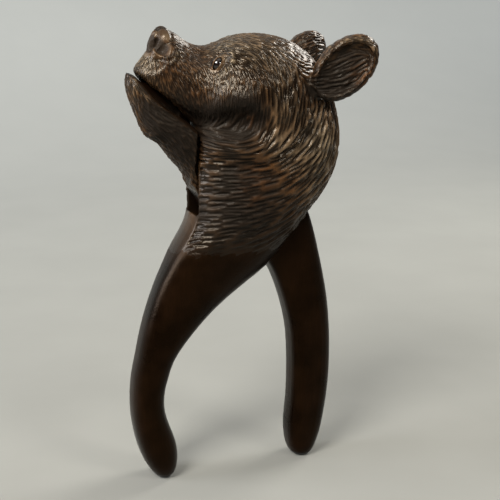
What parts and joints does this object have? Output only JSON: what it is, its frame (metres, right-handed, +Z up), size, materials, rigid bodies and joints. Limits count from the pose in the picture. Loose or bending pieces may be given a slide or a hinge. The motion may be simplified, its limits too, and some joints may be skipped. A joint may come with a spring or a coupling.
{
  "type": "lever nutcracker",
  "caption": "Carved wooden bear head nutcracker: a head lever and a jaw lever crossing at a hidden pivot pin, with glass eyes.",
  "frame": {"origin": "under the middle of the part, on the surface that its two toes stand on", "axes": "+Z up from the toes to the nose, +X from the nose to the nape, +Y across the head to its right side"},
  "size_m": [0.1046, 0.0608, 0.2011],
  "materials": {
    "carved_wood": "dark stained and waxed, carved",
    "pin_steel": "plain drawn steel",
    "eye_glass": "black, glossy",
    "stem_wire": "dark iron wire"
  },
  "bodies": {
    "head": {"front_lever": "carved_wood", "pivot_pin": "pin_steel", "pin_plug": "carved_wood", "left_glass_eye": "eye_glass", "right_glass_eye": "eye_glass", "left_eye_wire": "stem_wire", "right_eye_wire": "stem_wire"},
    "jaw": {"rear_lever": "carved_wood"}
  },
  "joints": [
    {"name": "jaw_pivot", "type": "hinge", "parent": "head", "child": "jaw", "pos_m": [-0.00027, 0, 0.1263], "axis": [0, -1, 0], "range_deg": [-1, 24]}
  ]
}
